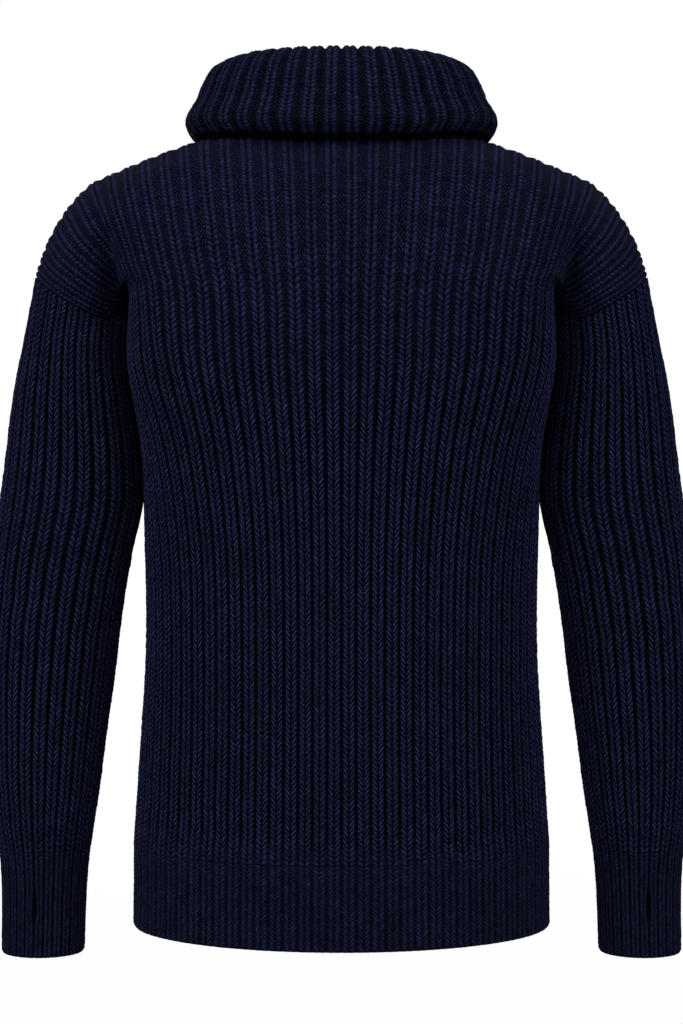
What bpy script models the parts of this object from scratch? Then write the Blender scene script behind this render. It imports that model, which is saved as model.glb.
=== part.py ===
"""Turtleneck sweater: a chunky rib-knit pullover with drop shoulders and a folded roll collar.

The front of the sweater faces -Y and its back +Y.  The origin lies between the shoulders, where
the wearer's shoulders carry the sweater.  Every piece is a knitted wall: ribs stand up on its
outer side, its inner side is plain.  Tables are in millimetres; the meshes are in metres.
"""

from collections import namedtuple

import bmesh
import bpy
import numpy as np

MM = 0.001

# ---------------------------------------------------------------- driving sizes (millimetres)
COLLECTION = "turtleneck_sweater"

BODY_RIBS = 19          # ribs from the centre line to the side seam, on each panel
SLEEVE_RIBS = 26        # ribs round a sleeve and round a cuff
COLLAR_RIBS = 42        # ribs round the roll collar

WALL = 5.5              # rib crown to the inside of the knit
RIB_DEPTH = 2.6         # rib crown to the gutter beside it
BAND_RIB_DEPTH = 1.8    # the same on the finer hem bands and cuffs
SEAM_GAP = 0.3          # between two sewn pieces
NECK_SEAM_GAP = 0.6     # the same round the neckline, whose edge is curved

HEM_Z = -655.6          # lowest edge of the body
BAND_TOP_Z = -588.0     # where the hem band meets the panels
CUFF_TOP_Z = -593.3
CUFF_END_Z = -680.0
ARMPIT_COURSE = 0.73    # share of a panel's courses that lie below the armpit
CROWDING_POWER = 4      # the higher, the nearer to the side the ribs are drawn together
FOLD_ROUNDING = 7.0     # radius that softens the fold beside the arm
CORNER_LEVEL = 0.3      # how much of the drop to the shoulder blade starts at the centre line

# half-ring sections of the body below the armpit, one row for each course level
BodyRing = namedtuple("BodyRing", "course z_mid z_side half_width back front squareness crowding")
BODY_RINGS = [
    BodyRing(0.00, BAND_TOP_Z, BAND_TOP_Z, 176.4, 104, 104, 0.55, 0.00),
    BodyRing(0.12, -514, -511, 171.3, 104, 105, 0.56, 0.00),
    BodyRing(0.26, -427, -421, 165.9, 105, 108, 0.60, 0.00),
    BodyRing(0.40, -340, -330, 167.0, 108, 112, 0.62, 0.00),
    BodyRing(0.52, -265, -253, 169.8, 112, 116, 0.72, 0.03),
    BodyRing(0.63, -195, -183, 179.4, 115, 119, 0.88, 0.05),
    BodyRing(ARMPIT_COURSE, -130, -122, 178.0, 114, 119, 0.93, 0.11),
]

# courses above the armpit: from the centre line round the shoulder blade (corner) into the
# fold beside the arm, then over the shoulder cap to the armhole seam
YokeCourse = namedtuple(
    "YokeCourse",
    "course back front z_mid corner_x corner_y corner_z reach crowding "
    "fold_x fold_y fold_z cap_x cap_y cap_z",
)
YOKE_COURSES = [
    YokeCourse(0.775, 110, 117, -102, 180, 113, -104, 0.80, 0.18, 182, 42, -125, 182, 34, -130),
    YokeCourse(0.820, 104, 112, -74, 185, 108, -80, 0.77, 0.20, 185, 50, -112, 189, 54, -128),
    YokeCourse(0.865, 96, 104, -46, 189, 100, -56, 0.73, 0.17, 190, 59, -94, 208, 74, -112),
    YokeCourse(0.910, 85, 93, -20, 184, 84, -26, 0.68, 0.13, 197, 64, -71, 228, 72, -90),
    YokeCourse(0.955, 68, 74, 4, 165, 50, -2, 0.66, 0.10, 204, 42, -46, 241, 44, -66),
    YokeCourse(1.000, 0, 0, 34, 75, 0, 33, 0.66, 0.09, 212, 0, -27, 247, 0, -55),
]

# the armhole seam of one quarter, from the armpit round the back of the arm to the shoulder
ArmholePoint = namedtuple("ArmholePoint", "x y z")
ARMHOLE = [
    ArmholePoint(178.0, 0, -122),
    ArmholePoint(181.0, 23, -138),
    ArmholePoint(190.0, 43, -148),
    ArmholePoint(205.0, 57, -146),
    ArmholePoint(220.5, 62, -138),
    ArmholePoint(240.0, 54, -126),
    ArmholePoint(254.0, 31, -114),
    ArmholePoint(259.5, 0, -108),
]
ARM_CENTRE_X = 220.0
ARM_HALF = (42.0, 62.0)     # half width and half depth of the armhole
ARMPIT_TURN = 45.0          # depth over which the seam's edge turns from facing down to sideways

# the neckline is scooped out of the panels between the neck ends of the shoulders
NECK_RIBS = 5.5             # ribs from the centre line to the neck end of the shoulder
BACK_SCOOP = 0.052          # depth of the scoops, as a share of the courses
FRONT_SCOOP = 0.100
SCOOP_POWER = 0.70          # 0.5 would be an ellipse; more makes the ends of the scoop softer
NECK_SHAPING_COURSE = 0.86  # the courses above this one are drawn together below the scoop

# inner_power squares off the side of a sleeve that lies along the body, 2 for an ellipse
SleeveRing = namedtuple("SleeveRing", "z x_out x_in y_mid half_depth tilt face_pitch inner_power")
SLEEVE_RINGS = [
    SleeveRing(-168, 268.0, 180.2, -1, 61, 0.28, -0.20, 2.5),
    SleeveRing(-212, 278.0, 176.4, -2, 58, 0.14, -0.14, 3.0),
    SleeveRing(-263, 285.8, 170.2, -4, 55, 0.04, -0.06, 3.0),
    SleeveRing(-300, 291.0, 169.0, -5, 53, 0.00, 0.00, 3.0),
    SleeveRing(-340, 296.0, 177.6, -6, 51, 0.00, 0.05, 2.6),
    SleeveRing(-391, 301.0, 187.0, -8, 49, 0.00, 0.08, 2.2),
    SleeveRing(-442, 303.6, 193.0, -10, 46, 0.00, 0.10, 2.0),
    SleeveRing(-493, 303.0, 200.4, -12, 43, 0.00, 0.10, 2.0),
    SleeveRing(-543, 300.5, 207.0, -13, 39, 0.00, 0.10, 2.0),
    SleeveRing(-575, 297.0, 212.0, -14, 36, 0.00, 0.06, 2.0),
    SleeveRing(CUFF_TOP_Z, 294.0, 215.0, -15, 33, 0.00, 0.03, 2.0),
]
CUFF_RINGS = [
    SleeveRing(CUFF_TOP_Z, 293.2, 215.8, -15, 32, 0.00, 0.03, 2.0),
    SleeveRing(-612, 292.2, 217.2, -15, 30, 0.00, 0.03, 2.0),
    SleeveRing(CUFF_END_Z, 291.4, 220.6, -15, 28, 0.00, 0.03, 2.0),
]

HemRing = namedtuple("HemRing", "z half_width back front")
HEM_RINGS = [
    HemRing(BAND_TOP_Z, 176.2, 103.8, 103.8),
    HemRing(HEM_Z, 176.6, 104.6, 104.6),
]
HEM_SQUARENESS = 0.55

# rings of the roll collar, from the neck seam up its inner side, over the fold and down outside
CollarRing = namedtuple("CollarRing", "half_width back front z_back z_side z_front")
COLLAR_RINGS = [
    CollarRing(82, 59, 64, 38, 43, 22),
    CollarRing(88, 58, 64, 62, 62, 50),
    CollarRing(97, 65, 73, 71.5, 70, 60),
    CollarRing(109, 76, 86, 66, 65.5, 53),
    CollarRing(118, 87, 98, 46, 53, 32),
    CollarRing(123.5, 92, 104, 27, 39, 11),
    CollarRing(132.0, 97, 110, 8, 26, -12),
    CollarRing(134.0, 98, 112, 2, 19, -21),
    CollarRing(131.0, 97, 111, -4, 11, -30),
]
COLLAR_ROUNDNESS = 2.3      # exponent of the collar's oval, 2 for an ellipse

SEAM_STEPS = SLEEVE_RIBS // 2   # solid rows along each side of the armhole seam

NAVY = (0.012, 0.014, 0.050, 1.0)
KNIT_ROUGHNESS = 0.95


# ---------------------------------------------------------------- curves
def lengths(line):
    """Distance along a polyline at each of its points."""
    steps = np.linalg.norm(np.diff(line, axis=0), axis=1)
    return np.concatenate([[0.0], np.cumsum(steps)])


def at_shares(line, shares):
    """Points of a polyline at the given shares of its length."""
    along = lengths(line)
    targets = np.asarray(shares) * along[-1]
    return np.stack([np.interp(targets, along, line[:, axis]) for axis in range(3)], axis=1)


def bezier(points, count=160):
    """A Bezier curve of any degree through its two end points."""
    points = np.asarray(points, dtype=float)
    u = np.linspace(0.0, 1.0, count)[:, None, None]
    level = np.broadcast_to(points, (count,) + points.shape)
    while level.shape[1] > 1:
        level = level[:, :-1] * (1.0 - u) + level[:, 1:] * u
    return level[:, 0]


def soften(line, reach):
    """Round the corners of a polyline over about reach millimetres, with its ends kept."""
    line = at_shares(line, np.linspace(0.0, 1.0, 401))
    step = lengths(line)[-1] / 400
    for _ in range(int((reach / step) ** 2 / 2)):
        line[1:-1] = 0.25 * line[:-2] + 0.5 * line[1:-1] + 0.25 * line[2:]
    return line


def spline(knots, rows, where):
    """Smooth interpolation between whole rows of points, placed at uneven knots."""
    knots = np.asarray(knots, dtype=float)
    rows = np.asarray(rows, dtype=float)
    spans = np.diff(knots)[:, None, None]
    slopes = np.diff(rows, axis=0) / spans
    tangents = np.empty_like(rows)
    tangents[0] = slopes[0]
    tangents[-1] = slopes[-1]
    tangents[1:-1] = (slopes[:-1] * spans[1:] + slopes[1:] * spans[:-1]) / (spans[1:] + spans[:-1])
    index = np.clip(np.searchsorted(knots, where, side="right") - 1, 0, len(knots) - 2)
    h = (knots[index + 1] - knots[index])[:, None, None]
    u = ((where - knots[index]) / h[:, 0, 0])[:, None, None]
    return (
        rows[index] * (1 + 2 * u) * (1 - u) ** 2
        + rows[index + 1] * u**2 * (3 - 2 * u)
        + tangents[index] * h * u * (1 - u) ** 2
        - tangents[index + 1] * h * u**2 * (1 - u)
    )


def normalized(vectors):
    size = np.linalg.norm(vectors, axis=-1, keepdims=True)
    return vectors / np.maximum(size, 1e-9)


def grid_normals(grid, closed):
    """Outward normals of a grid whose rows run upward and whose columns run from +X through +Y."""
    if closed:
        wide = np.concatenate([grid[:, -1:], grid, grid[:, :1]], axis=1)
        across = np.gradient(wide, axis=1)[:, 1:-1]
    else:
        across = np.gradient(grid, axis=1)
    along = np.gradient(grid, axis=0)
    return normalized(np.cross(across, along))


# ---------------------------------------------------------------- the body's surface
def armhole_line(back=1.0):
    """The armhole seam of one quarter as a smooth polyline, armpit first."""
    points = np.array([(p.x, p.y * back, p.z) for p in ARMHOLE], dtype=float)
    knots = lengths(points)
    fine = np.linspace(0.0, knots[-1], 241)
    return spline(knots, points[:, None, :], fine)[:, 0]


def seam_shares():
    """Shares of the way up the armhole seam where the panel rows and sleeve ribs meet."""
    from_shoulder = np.arange(SEAM_STEPS + 1) / (2 * SEAM_STEPS)
    return 1.0 - 2.0 * face_shares(from_shoulder, SLEEVE_RINGS[0].face_pitch)[::-1]


def face_shares(shares, face_pitch):
    """Widens the ribs on the front and back faces of a sleeve by face_pitch."""
    return shares - face_pitch / (4 * np.pi) * np.sin(4 * np.pi * shares)


def ring_line(half_width, depth, z_mid, z_side, squareness):
    """A quarter of a body ring, from the centre line to the side seam."""
    return bezier([
        (0.0, depth, z_mid),
        (squareness * half_width, depth, z_mid + squareness * (z_side - z_mid) / 2),
        (half_width, squareness * depth, z_side),
        (half_width, 0.0, z_side),
    ])


def yoke_line(row, depth, back, edge):
    """A course above the armpit, from the centre line to the armhole seam."""
    middle = np.array([0.0, depth * back, row.z_mid])
    corner = np.array([row.corner_x, row.corner_y * back, row.corner_z])
    fold = np.array([row.fold_x, row.fold_y * back, row.fold_z])
    cap = np.array([row.cap_x, row.cap_y * back, row.cap_z])
    start = middle + row.reach * (corner - middle) * (1, 1, CORNER_LEVEL)
    near_fold = fold + row.reach * (corner - fold)
    body_part = bezier([middle, start, near_fold, fold])
    cap_part = bezier([fold, cap, edge], 80)
    return soften(np.concatenate([body_part, cap_part[1:]]), FOLD_ROUNDING)


def rib_shares(ribs, crowding):
    """Where ribs lie along a course, as shares of its length; crowding narrows the outer ones."""
    x = np.abs(ribs) / BODY_RIBS
    return x + crowding * (x - x**CROWDING_POWER)


def panel_courses(back, ribs):
    """The key courses of a panel's +X half: their levels, and their points at the given ribs."""
    levels = []
    rows = []
    for ring in BODY_RINGS:
        depth = ring.back if back > 0 else ring.front
        line = ring_line(ring.half_width, depth * back, ring.z_mid, ring.z_side, ring.squareness)
        rows.append(at_shares(line, rib_shares(ribs, ring.crowding)))
        levels.append(ring.course)
    seam = armhole_line(back)
    for course in YOKE_COURSES:
        share = (course.course - ARMPIT_COURSE) / (1.0 - ARMPIT_COURSE)
        edge = at_shares(seam, [share])[0]
        depth = course.back if back > 0 else course.front
        line = yoke_line(course, depth, back, edge)
        rows.append(at_shares(line, rib_shares(ribs, course.crowding)))
        levels.append(course.course)
    return levels, rows


def scoop(ribs, depth):
    """The highest course at each rib: 1 on the shoulders, less in the neck scoop."""
    inside = np.clip(1.0 - (np.abs(ribs) / NECK_RIBS) ** 2, 0.0, 1.0)
    return 1.0 - depth * inside**SCOOP_POWER


def panel_surface(back, ribs, courses):
    """Points of a panel at signed rib numbers and at courses that are shares of its height."""
    levels, rows = panel_courses(back, ribs)
    rows = np.array(rows)
    rows[:, :, 0] *= np.sign(ribs) + (ribs == 0)
    top = scoop(ribs, BACK_SCOOP if back > 0 else FRONT_SCOOP)
    points = np.empty((len(courses), len(ribs), 3))
    for column in range(len(ribs)):
        where = neck_levels(courses, top[column])
        points[:, column] = spline(levels, rows[:, column:column + 1], where)[:, 0]
    return points


def neck_levels(courses, top):
    """Courses of one rib, with the last ones drawn together below the neck scoop."""
    start = NECK_SHAPING_COURSE
    above = np.clip((courses - start) / (1.0 - start), 0.0, 1.0)
    return np.where(courses > start, start + above * (top - start), courses)


def rim_directions(points):
    """Which way the knit faces along the armhole seam: away from the arm, or down in the armpit."""
    radial = np.stack([
        (points[:, 0] - ARM_CENTRE_X) / ARM_HALF[0] ** 2,
        points[:, 1] / ARM_HALF[1] ** 2,
        np.zeros(len(points)),
    ], axis=1)
    share = np.clip(np.abs(points[:, 1]) / ARMPIT_TURN, 0.0, 1.0)
    share = np.where(points[:, 0] > ARM_CENTRE_X, 1.0, share**2 * (3 - 2 * share))[:, None]
    down = np.array([0.0, 0.0, -1.0])
    return normalized(share * normalized(radial) + (1.0 - share) * down)


# ---------------------------------------------------------------- solids
def wall(name, outer, inner, closed, ratio):
    """A closed solid between an outer grid and an inner grid with fewer columns.

    Rows run upward; each inner column faces `ratio` outer ones.  A closed wall is a tube, open
    at both ends; an open one has two side edges as well.
    """
    rows, columns = outer.shape[:2]
    inner_columns = inner.shape[1]
    mesh = bmesh.new()
    out = [[mesh.verts.new(p * MM) for p in row] for row in outer]
    inn = [[mesh.verts.new(p * MM) for p in row] for row in inner]
    segments = columns if closed else columns - 1
    inner_segments = inner_columns if closed else inner_columns - 1
    for r in range(rows - 1):
        for c in range(segments):
            d = (c + 1) % columns
            mesh.faces.new((out[r][c], out[r][d], out[r + 1][d], out[r + 1][c]))
        for c in range(inner_segments):
            d = (c + 1) % inner_columns
            mesh.faces.new((inn[r][d], inn[r][c], inn[r + 1][c], inn[r + 1][d]))
        if not closed:
            for edge in (0, -1):
                mesh.faces.new((out[r + 1][edge], inn[r + 1][edge], inn[r][edge]))
                mesh.faces.new((out[r + 1][edge], inn[r][edge], out[r][edge]))
    for r in (0, rows - 1):
        for c in range(inner_segments):
            d = (c + 1) % inner_columns
            for step in range(ratio):
                a = out[r][(c * ratio + step) % columns]
                b = out[r][(c * ratio + step + 1) % columns]
                apex = inn[r][c] if step < ratio / 2 else inn[r][d]
                mesh.faces.new((a, b, apex) if r else (b, a, apex))
            middle = out[r][(c * ratio + (ratio + 1) // 2) % columns]
            mesh.faces.new((middle, inn[r][d], inn[r][c]) if r else (middle, inn[r][c], inn[r][d]))
    bmesh.ops.recalc_face_normals(mesh, faces=mesh.faces[:])
    data = bpy.data.meshes.new(name)
    mesh.to_mesh(data)
    mesh.free()
    data.shade_smooth()
    return data


def knit_material(name, tint=1.0):
    material = bpy.data.materials.new(name)
    material.use_nodes = True
    shader = material.node_tree.nodes["Principled BSDF"]
    shader.inputs["Base Color"].default_value = (NAVY[0] * tint, NAVY[1] * tint, NAVY[2] * tint, 1)
    shader.inputs["Roughness"].default_value = KNIT_ROUGHNESS
    shader.inputs["Metallic"].default_value = 0.0
    return material


def add_piece(name, data, material, collection):
    piece = bpy.data.objects.new(name, data)
    data.materials.append(material)
    collection.objects.link(piece)
    return piece


def rib_relief(columns, depth):
    """How far each column lies below the rib crowns: two columns to a rib, gutter first."""
    return np.where(np.arange(columns) % 2 == 0, depth, 0.0)[None, :, None]


# ---------------------------------------------------------------- pieces
def panel_grids(back):
    """Outer and inner grids of the front or back panel, right edge last."""
    side = np.arange(-2 * BODY_RIBS, 2 * BODY_RIBS + 1) / 2
    ribs = side * -back                       # columns run from +X through +Y, or from -X
    below = [ring.course for ring in BODY_RINGS]
    above = ARMPIT_COURSE + (1.0 - ARMPIT_COURSE) * seam_shares()[1:]
    courses = np.concatenate([below, above])
    crown = panel_surface(back, ribs, courses)
    normals = grid_normals(crown, closed=False)
    normals[0, :, 2] = 0.0
    yoke = courses >= ARMPIT_COURSE - 1e-9
    for edge in (0, -1):
        mirror = np.array([np.sign(crown[0, edge, 0]), 1.0, 1.0])
        normals[yoke, edge] = rim_directions(crown[yoke, edge] * mirror) * mirror
        normals[~yoke, edge, 1] = 0.0
    shoulder = np.abs(ribs) >= NECK_RIBS
    normals[-1, shoulder, 1] = 0.0
    neck = np.abs(ribs) <= NECK_RIBS + 0.5
    normals[-1, neck] = crown[-1, neck] * (1.0, 1.0, 0.0)
    normals = normalized(normals)
    seam = at_shares(armhole_line(back), seam_shares())
    crown[yoke, 0] = seam * (back, 1, 1)
    crown[yoke, -1] = seam * (-back, 1, 1)
    outer = crown - normals * rib_relief(len(ribs), RIB_DEPTH)
    inner = (crown - normals * WALL)[:, ::2]
    shift = np.array([0.0, back * SEAM_GAP / 2, 0.0])
    return outer + shift, inner + shift


def hem_grids(back):
    """Outer and inner grids of one half of the hem band."""
    side = np.arange(-2 * BODY_RIBS, 2 * BODY_RIBS + 1) / 2
    ribs = side * -back
    rows = []
    for ring in reversed(HEM_RINGS):
        depth = (ring.back if back > 0 else ring.front) * back
        line = ring_line(ring.half_width, depth, ring.z, ring.z, HEM_SQUARENESS)
        row = at_shares(line, rib_shares(ribs, 0.0))
        row[:, 0] *= np.sign(ribs) + (ribs == 0)
        rows.append(row)
    crown = np.array(rows)
    crown[-1, :, 2] -= SEAM_GAP
    normals = grid_normals(crown, closed=False)
    normals[:, :, 2] = 0.0
    normals[:, (0, -1), 1] = 0.0
    normals = normalized(normals)
    outer = crown - normals * rib_relief(len(ribs), BAND_RIB_DEPTH)
    inner = (crown - normals * WALL)[:, ::4]
    shift = np.array([0.0, back * SEAM_GAP / 2, 0.0])
    return outer + shift, inner + shift


def sleeve_ring(ring, shares):
    """Points round a sleeve at shares of the way from its outer side through the back."""
    angle = np.linspace(0.0, 2 * np.pi, 361)
    cosine = np.cos(angle)
    sine = np.sin(angle)
    power = np.where(cosine < 0.0, 2.0 / ring.inner_power, 1.0)
    x = (ring.x_out - ring.x_in) / 2 * np.sign(cosine) * np.abs(cosine) ** power
    y = ring.half_depth * np.sign(sine) * np.abs(sine) ** power
    middle = (ring.x_out + ring.x_in) / 2
    line = np.stack([middle + x, ring.y_mid + y, ring.z + ring.tilt * x], axis=1)
    return at_shares(line, face_shares(shares, ring.face_pitch))


def sleeve_rows(shares):
    """The sleeve's key rings: the armhole seam first, then the table's rings."""
    half = at_shares(armhole_line(1.0), seam_shares())
    between = (half[1:] + half[:-1]) / 2
    seam = np.empty((2 * SEAM_STEPS + 1, 3))
    seam[0::2] = half[::-1]
    seam[1::2] = between[::-1]
    rows = [np.concatenate([seam, (seam * (1, -1, 1))[-2:0:-1]])]
    rows += [sleeve_ring(ring, shares) for ring in SLEEVE_RINGS]
    knots = [seam[:, 2].mean()] + [ring.z for ring in SLEEVE_RINGS]
    return -np.array(knots), np.array(rows)


def tube_grids(knots, rows, levels, relief, top_normals=None):
    """Outer and inner grids of a sleeve or cuff from its key rings, lowest row first."""
    crown = spline(knots, rows, levels)[::-1]
    normals = grid_normals(crown, closed=True)
    normals[0, :, 2] = 0.0
    if top_normals is None:
        normals[-1, :, 2] = 0.0
    else:
        normals[-1] = top_normals(crown[-1])
    normals = normalized(normals)
    outer = crown - normals * relief
    inner = (crown - normals * WALL)[:, ::2]
    return outer, inner


def sleeve_grids():
    shares = np.arange(2 * SLEEVE_RIBS) / (2 * SLEEVE_RIBS)
    knots, rows = sleeve_rows(shares)
    relief = rib_relief(2 * SLEEVE_RIBS, RIB_DEPTH)
    outer, inner = tube_grids(knots, rows, knots, relief, rim_directions)
    off_seam = np.array([SEAM_GAP, 0.0, -SEAM_GAP])
    outer[-1] += off_seam
    inner[-1] += off_seam
    return outer, inner


def cuff_grids():
    shares = np.arange(2 * SLEEVE_RIBS) / (2 * SLEEVE_RIBS)
    rows = np.array([sleeve_ring(ring, shares) for ring in CUFF_RINGS])
    knots = -np.array([ring.z for ring in CUFF_RINGS])
    rows[0, :, 2] -= SEAM_GAP
    relief = rib_relief(2 * SLEEVE_RIBS, BAND_RIB_DEPTH)
    return tube_grids(knots, rows, knots, relief)


def collar_ring(ring, angle):
    power = 2.0 / COLLAR_ROUNDNESS
    cosine = np.cos(angle)
    sine = np.sin(angle)
    depth = np.where(sine > 0, ring.back, ring.front)
    z_end = np.where(sine > 0, ring.z_back, ring.z_front)
    x = ring.half_width * np.sign(cosine) * np.abs(cosine) ** power
    y = depth * np.sign(sine) * np.abs(sine) ** power
    z = ring.z_side + (z_end - ring.z_side) * sine**2
    return np.stack([x, y, z], axis=1)


def neckline():
    """The neck edge of both panels as one closed loop, from the centre back through -X."""
    ribs = np.arange(0, 2 * NECK_RIBS + 1) / 2
    back = panel_surface(1.0, -ribs, np.array([1.0]))[0]
    front = panel_surface(-1.0, -ribs[::-1], np.array([1.0]))[0]
    half = np.concatenate([back, front[1:]])
    return np.concatenate([half, (half * (-1, 1, 1))[-2::-1]])


def collar_grids():
    """The collar's visible side with its ribs, and the plain side between its two layers."""
    shares = np.arange(2 * COLLAR_RIBS) / (2 * COLLAR_RIBS)
    angle = np.linspace(np.pi / 2, 5 * np.pi / 2, 721)
    seam = at_shares(neckline(), shares)
    outward = normalized(seam * (1.0, 1.0, 0.0))
    seam += np.array([0.0, 0.0, NECK_SEAM_GAP]) - WALL * outward
    rows = [seam] + [at_shares(collar_ring(ring, angle), shares) for ring in COLLAR_RINGS]
    crown = np.array(rows)
    normals = -grid_normals(crown, closed=True)
    normals[0] = -outward
    outer = crown - normals * rib_relief(2 * COLLAR_RIBS, RIB_DEPTH)
    inner = (crown - normals * WALL)[:, ::2]
    return outer, inner


# ---------------------------------------------------------------- the sweater
def build():
    for item in list(bpy.data.objects):
        bpy.data.objects.remove(item, do_unlink=True)
    collection = bpy.data.collections.new(COLLECTION)
    bpy.context.scene.collection.children.link(collection)

    for name, back in (("back", 1.0), ("front", -1.0)):
        outer, inner = panel_grids(back)
        data = wall(name + "_panel", outer, inner, closed=False, ratio=2)
        add_piece(name + "_panel", data, knit_material(name + "_panel_knit"), collection)
        outer, inner = hem_grids(back)
        data = wall("hem_" + name, outer, inner, closed=False, ratio=4)
        add_piece("hem_" + name, data, knit_material("hem_" + name + "_knit", 1.1), collection)

    for name, sign in (("left", 1.0), ("right", -1.0)):
        mirror = np.array([sign, 1.0, 1.0])
        for part, grids, tint in (("sleeve", sleeve_grids, 1.0), ("cuff", cuff_grids, 1.1)):
            outer, inner = grids()
            data = wall(part + "_" + name, outer * mirror, inner * mirror, closed=True, ratio=2)
            material = knit_material(part + "_" + name + "_knit", tint)
            add_piece(part + "_" + name, data, material, collection)

    outer, inner = collar_grids()
    data = wall("collar", outer, inner, closed=True, ratio=2)
    add_piece("collar", data, knit_material("collar_knit", 1.05), collection)


build()
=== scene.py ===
"""Looks of the turtleneck sweater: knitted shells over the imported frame, light, stage and camera.

Tables are in millimetres, as in the part's source; meshes are in metres.  Every shell is a grid
that follows the stitches: six or eight columns to a rib and two or three rows to a stitch,
zigzagging so that the legs of the knit stitches stand out between the purl gutters.
"""

from collections import namedtuple

import bpy
import numpy as np
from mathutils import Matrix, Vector


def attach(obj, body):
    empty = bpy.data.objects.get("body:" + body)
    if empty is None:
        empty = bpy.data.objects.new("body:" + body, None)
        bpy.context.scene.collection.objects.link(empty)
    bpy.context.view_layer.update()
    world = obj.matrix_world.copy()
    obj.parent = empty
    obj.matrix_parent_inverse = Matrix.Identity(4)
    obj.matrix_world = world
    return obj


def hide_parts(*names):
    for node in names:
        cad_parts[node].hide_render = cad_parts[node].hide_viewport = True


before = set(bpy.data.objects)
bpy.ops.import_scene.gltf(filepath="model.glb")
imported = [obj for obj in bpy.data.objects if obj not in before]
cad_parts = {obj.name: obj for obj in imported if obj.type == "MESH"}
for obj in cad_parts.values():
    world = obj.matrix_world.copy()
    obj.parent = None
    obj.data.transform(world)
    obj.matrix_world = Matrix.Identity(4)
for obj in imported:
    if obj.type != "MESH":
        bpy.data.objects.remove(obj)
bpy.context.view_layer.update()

MM = 0.001
SEED = 11
TINY = 1e-9


def table(kind, *rows):
    """Rows with named columns."""
    return [kind(*row) for row in rows]


# ---- sizes shared with the solids
BODY_RIBS = 19  # ribs from the centre line to the side seam, on each panel
SLEEVE_RIBS = 26
COLLAR_RIBS = 42
WALL = 5.5  # rib crown to the inside of the knit
RIB_DEPTH = 2.6  # rib crown to the gutter beside it
BAND_RIB_DEPTH = 1.8
COLLAR_RIB_DEPTH = 3.2
SEAM_GAP = 0.3
NECK_SEAM_GAP = 0.6
HEM_Z = -655.6
BAND_TOP_Z = -588.0
CUFF_TOP_Z = -593.3
CUFF_END_Z = -683.0
ARMPIT_COURSE = 0.73
CROWDING_POWER = 4
FOLD_ROUNDING = 7.0
CORNER_LEVEL = 0.3

BodyRing = namedtuple("BodyRing", "course z_mid z_side half_width back front squareness crowding")
BODY_RINGS = table(
    BodyRing,
    (0.00, BAND_TOP_Z, BAND_TOP_Z, 176.4, 104, 104, 0.55, 0.00),
    (0.12, -514, -511, 171.3, 104, 105, 0.56, 0.00),
    (0.26, -427, -421, 165.9, 105, 108, 0.60, 0.00),
    (0.40, -340, -330, 167.0, 108, 112, 0.62, 0.00),
    (0.52, -265, -253, 169.8, 112, 116, 0.72, 0.03),
    (0.63, -195, -183, 179.4, 115, 119, 0.88, 0.05),
    (ARMPIT_COURSE, -130, -122, 178.0, 114, 119, 0.93, 0.09),
)
YokeCourse = namedtuple(
    "YokeCourse",
    "course back front z_mid corner_x corner_y corner_z reach crowding "
    "fold_x fold_y fold_z cap_x cap_y cap_z",
)
YOKE_COURSES = table(
    YokeCourse,
    (0.775, 110, 117, -102, 180, 113, -104, 0.80, 0.215, 182, 42, -125, 182, 34, -130),
    (0.820, 104, 112, -74, 185, 108, -80, 0.77, 0.20, 185, 50, -112, 189, 54, -128),
    (0.865, 96, 104, -46, 189, 100, -56, 0.73, 0.17, 190, 59, -94, 208, 74, -112),
    (0.910, 85, 93, -20, 184, 84, -26, 0.68, 0.13, 197, 64, -71, 228, 72, -90),
    (0.955, 68, 74, 4, 165, 50, -2, 0.66, 0.10, 204, 42, -46, 241, 44, -66),
    (1.000, 0, 0, 34, 75, 0, 33, 0.66, 0.09, 212, 0, -27, 247, 0, -55),
)
ArmholePoint = namedtuple("ArmholePoint", "x y z")
ARMHOLE = table(
    ArmholePoint,
    (178.0, 0, -122),
    (181.0, 23, -138),
    (190.0, 43, -148),
    (205.0, 57, -146),
    (220.5, 62, -138),
    (240.0, 54, -126),
    (254.0, 31, -114),
    (259.5, 0, -108),
)
ARM_CENTRE_X = 220.0
ARM_HALF = (42.0, 62.0)
ARMPIT_TURN = 45.0

NECK_RIBS = 5.5
BACK_SCOOP = 0.052
FRONT_SCOOP = 0.100
SCOOP_POWER = 0.70
NECK_SHAPING_COURSE = 0.86
NECK_TURN_RIBS = 0.5  # how far beside the neck the top edge still faces outward

SleeveRing = namedtuple("SleeveRing", "z x_out x_in y_mid half_depth tilt face_pitch inner_power")
SLEEVE_RINGS = table(
    SleeveRing,
    (-168, 268.0, 180.2, -1, 61, 0.28, -0.20, 2.5),
    (-212, 278.0, 176.4, -2, 58, 0.14, -0.14, 3.0),
    (-263, 285.8, 170.2, -4, 55, 0.04, -0.06, 3.0),
    (-300, 291.0, 170.1, -5, 53, 0.00, 0.00, 3.0),
    (-340, 296.0, 178.4, -6, 51, 0.00, 0.05, 2.6),
    (-391, 301.0, 187.0, -8, 49, 0.00, 0.08, 2.2),
    (-442, 303.6, 193.0, -10, 46, 0.00, 0.10, 2.0),
    (-493, 303.0, 200.4, -12, 43, 0.00, 0.10, 2.0),
    (-543, 300.5, 207.0, -13, 39, 0.00, 0.10, 2.0),
    (-575, 297.0, 212.0, -14, 36, 0.00, 0.06, 2.0),
    (CUFF_TOP_Z, 294.0, 215.0, -15, 33, 0.00, 0.03, 2.0),
)
CUFF_RINGS = table(
    SleeveRing,
    (CUFF_TOP_Z, 293.8, 215.2, -15, 32.8, 0.00, 0.03, 2.0),
    (-612, 292.2, 217.2, -15, 30, 0.00, 0.03, 2.0),
    (CUFF_END_Z, 291.4, 220.6, -15, 28, 0.00, 0.03, 2.0),
)
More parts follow.
